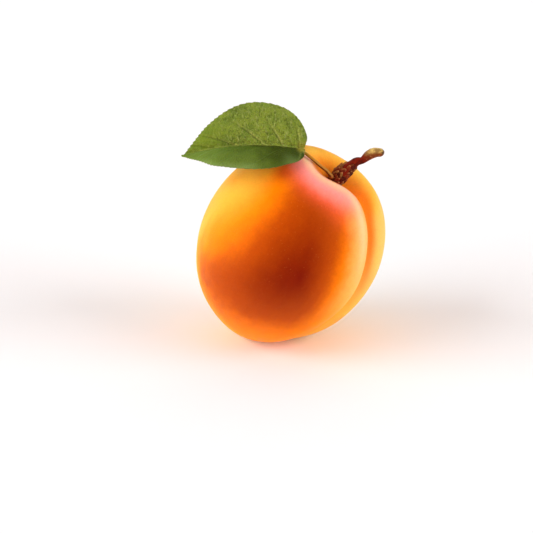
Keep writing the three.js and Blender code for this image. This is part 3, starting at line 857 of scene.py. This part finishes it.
def leafMaterial():
    material, tree, shader = newMaterial("leafGreen", {
        "Roughness": 0.5, "Specular IOR Level": 0.16, "Specular Tint": colour("b8d060"),
        "Subsurface Weight": 0.1, "Subsurface Radius": (0.4, 0.9, 0.1), "Subsurface Scale": 0.0006})
    place = attribute(tree, "leafPlace", "Vector")
    x, signedOut, upper = parts(place)
    out = signedOut.math("ABSOLUTE")
    near = smooth(signedOut, -0.05, 0.25)
    nearest = attribute(tree, "veinDistance")
    toEdge = smooth(out, 8.5, 3.5)
    sideVein = bell(nearest + 0.2, 0.26) * toEdge
    veinShade = bell(nearest - 0.18, 0.2) * toEdge
    rib = bell(out, 0.42)
    wander = vectorMath(tree, "ADD", place, scaled(noiseVector(place, 0.8), 1.2))
    net = smooth(voronoi(wander, 0.8, "DISTANCE_TO_EDGE"), 0.13, 0.0)
    fineNet = smooth(voronoi(wander, 2.2, "DISTANCE_TO_EDGE"), 0.2, 0.0)
    cloud = noise(place, 0.25, 3.0, 0.6)
    grain = noise(place, 2.6, 5.0, 0.68)
    stretched = vectorMath(tree, "MULTIPLY", place, (1.5, 0.6, 1.0))
    streak = smooth(noise(stretched, 1.0, 3.0, 0.6), 0.53, 0.66)
    pit = smooth(noise(stretched, 1.6, 2.0, 0.5), 0.42, 0.33)
    far = mixed(tree, smooth(cloud + (grain - 0.5) * 0.6, 0.36, 0.62), colour(leafLook["darkGreen"]),
                colour(leafLook["green"]))
    far = tinted(far, smooth(x - out * 0.4 + cloud * 6.0, 18.0, 26.0) * 0.7, leafLook["tipGreen"])
    far = tinted(far, smooth(out, 4.0, 0.5) * smooth(x, 8.0, 16.0) * 0.3, leafLook["pit"])
    relief = smooth(x, 26.0, 16.0) * 0.7 + 0.3  # the tip is smoother
    far = tinted(far, (streak * 0.6 + net * 0.2 + fineNet * 0.15) * relief, leafLook["paleGreen"])
    far = tinted(far, pit * relief * 0.6, leafLook["pit"])
    # the near half is the same leaf surface as the far half, its colours painted light: a darker green and
    # dark olive towards the base and the fold as painted shade, paler along its edge and at its tip as
    # painted reflection
    nearPaintedLight = mixed(tree, smooth(out + (cloud - 0.5) * 6.0, 2.0, 11.0), colour(leafLook["nearShadedGreen"]),
                  colour(leafLook["nearPaleLight"]))
    nearPaintedLight = tinted(nearPaintedLight, smooth(x + (cloud - 0.5) * 6.0, 12.0, 26.0), leafLook["nearTipLight"])
    olive = smooth(x + (cloud - 0.5) * 8.0, 12.0, 6.5)
    nearPaintedLight = tinted(nearPaintedLight, olive * (1.0 - smooth(out, 8.0, 13.0) * 0.5), leafLook["nearOliveShade"])
    # paler along the edge and near the base: painted reflection
    paleEdge = smooth(out + smooth(x, 18.0, 27.0) * 6.0 + (cloud - 0.5) * 4.0, 10.0, 13.5)
    nearPaintedLight = tinted(nearPaintedLight, paleEdge * smooth(x, 8.0, 14.0) * 0.7, leafLook["nearEdgeReflection"])
    nearPaintedLight = tinted(nearPaintedLight, smooth(x, 6.0, 1.5) * smooth(out, 4.0, 9.0) * 0.5, leafLook["nearEdgeReflection"])
    # a painted shade along the fold
    shade = smooth(out + (cloud - 0.5) * 3.0 + smooth(x, 8.0, 20.0) * 3.0, 4.5, 0.5)
    nearPaintedLight = tinted(nearPaintedLight, shade * 0.8, leafLook["nearFoldShade"])
    base = mixed(tree, near, far, nearPaintedLight)
    broken = smooth(noise(place, 1.3, 2.0, 0.5), 0.34, 0.56) * 0.6 + 0.3
    broken = broken * (smooth(x, 23.0, 12.0) * 0.85 + 0.15)
    base = tinted(base, sideVein * broken * (1.0 - near * 0.75), leafLook["vein"])
    base = tinted(base, veinShade * (1.0 - near * 0.6) * 0.45, leafLook["veinShade"])
    base = tinted(base, rib * (1.0 - near * 0.8) * smooth(x, 32.0, 20.0) * 0.8, leafLook["rib"])
    base = tinted(base, smooth(x, 2.2, 0.2) * smooth(out, 3.5, 1.0) * 0.8, leafLook["base"])
    lower = mixed(tree, net * 0.4 + sideVein * 0.5 + rib * 0.6, colour(leafLook["under"]),
                  colour(leafLook["rib"]))
    base = mixed(tree, upper, lower, base)
    put(tree, shader.inputs["Base Color"], base)
    put(tree, shader.inputs["Roughness"], grain * 0.2 + 0.42 - near * 0.08 + (1.0 - upper) * 0.15)
    height = (1.0 - net) * 0.4 + (1.0 - fineNet) * 0.2 + grain * 0.4 + streak * 0.5 - pit * 0.4
    put(tree, shader.inputs["Normal"], bump(height * (1.0 - near * 0.75) * relief, 0.0009))
    return material


petiole = {
    "points": [(11.2, -3.0, 19.5), (10.6, -3.5, 20.1), (10.2, -4.0, 20.9), (9.3, -4.3, 22.05),
               (8.1, -4.6, 23.05), (6.1, -5.2, 25.0), (4.8, -5.0, 26.1)],
    "count": 150, "underBlade": 0.28,
    "ribRows": [0.015, 0.06, 0.25, 0.5, 0.75, 0.94],
    "radii": [(0, 0.72), (0.03, 0.62), (0.06, 0.42), (0.22, 0.4), (0.3, 0.38), (1, 0.12)],
}
petioleSizes = {"sides": 28, "roughness": 0.05}


def stalkMaterial():
    material, tree, shader = newMaterial("petioleSkin", {
        "Roughness": 0.5, "Specular IOR Level": 0.3, "Subsurface Weight": 0.1, "Subsurface Scale": 0.0005})
    share = attribute(tree, "share")
    _, _, up = parts(Field(tree, tree.nodes.new("ShaderNodeNewGeometry").outputs["Normal"]))
    place = Field(tree, tree.nodes.new("ShaderNodeTexCoord").outputs["Object"])
    fleck = noise(place, 900.0, 3.0, 0.6)
    side = up + (fleck - 0.5) * 0.5
    # the underside is darker red-brown as painted shade, and the top is olive
    base = mixed(tree, smooth(side, 0.15, -0.35), colour(leafLook["stalk"]), colour(leafLook["stalkUnderShade"]))
    base = tinted(base, smooth(side, 0.7, 0.95) * 0.7, leafLook["stalkGreen"])
    base = tinted(base, smooth(share, 0.07, 0.03) * smooth(fleck, 0.35, 0.6), leafLook["foot"])
    base = tinted(base, smooth(share, 0.25, 0.32), leafLook["rib"])
    put(tree, shader.inputs["Base Color"], base)
    put(tree, shader.inputs["Normal"], bump(fleck, 0.00008))
    return material


def makePetiole():
    base, axes, length = leafFrame()
    rows = np.array(petiole["ribRows"])
    ribs, _, _ = bladeSurface(rows, np.zeros_like(rows), length)
    ribs[:, 2] -= petiole["underBlade"]
    path = np.vstack([petiole["points"], ribs @ axes + base])
    points, _ = throughPoints(path, petiole["count"])
    share = np.linspace(0, 1, petiole["count"])
    radii = np.interp(share, *zip(*petiole["radii"]))
    line = lineObject("petioleLine", points * mm + np.array(fruitCentre), radii * mm)
    tree, size = growTree("petioleForm", petioleSizes)
    stalk = tube(tree, Field(tree, tree.nodes["Group Input"].outputs["Geometry"]), size["sides"])
    place = Field(tree, tree.nodes.new("GeometryNodeInputPosition").outputs[0])
    stalk = pushedOut(tree, stalk, (noise(place, 900.0, 2.0) - 0.5) * size["roughness"] * 2.0 * mm)
    endTree(tree, stalk, stalkMaterial())
    return grown("petiole", tree, petioleSizes, line)


finishPiece(makeBlade(), "leaf_green", "leaf")
finishPiece(makePetiole(), "leaf_green")
print("leaf made")
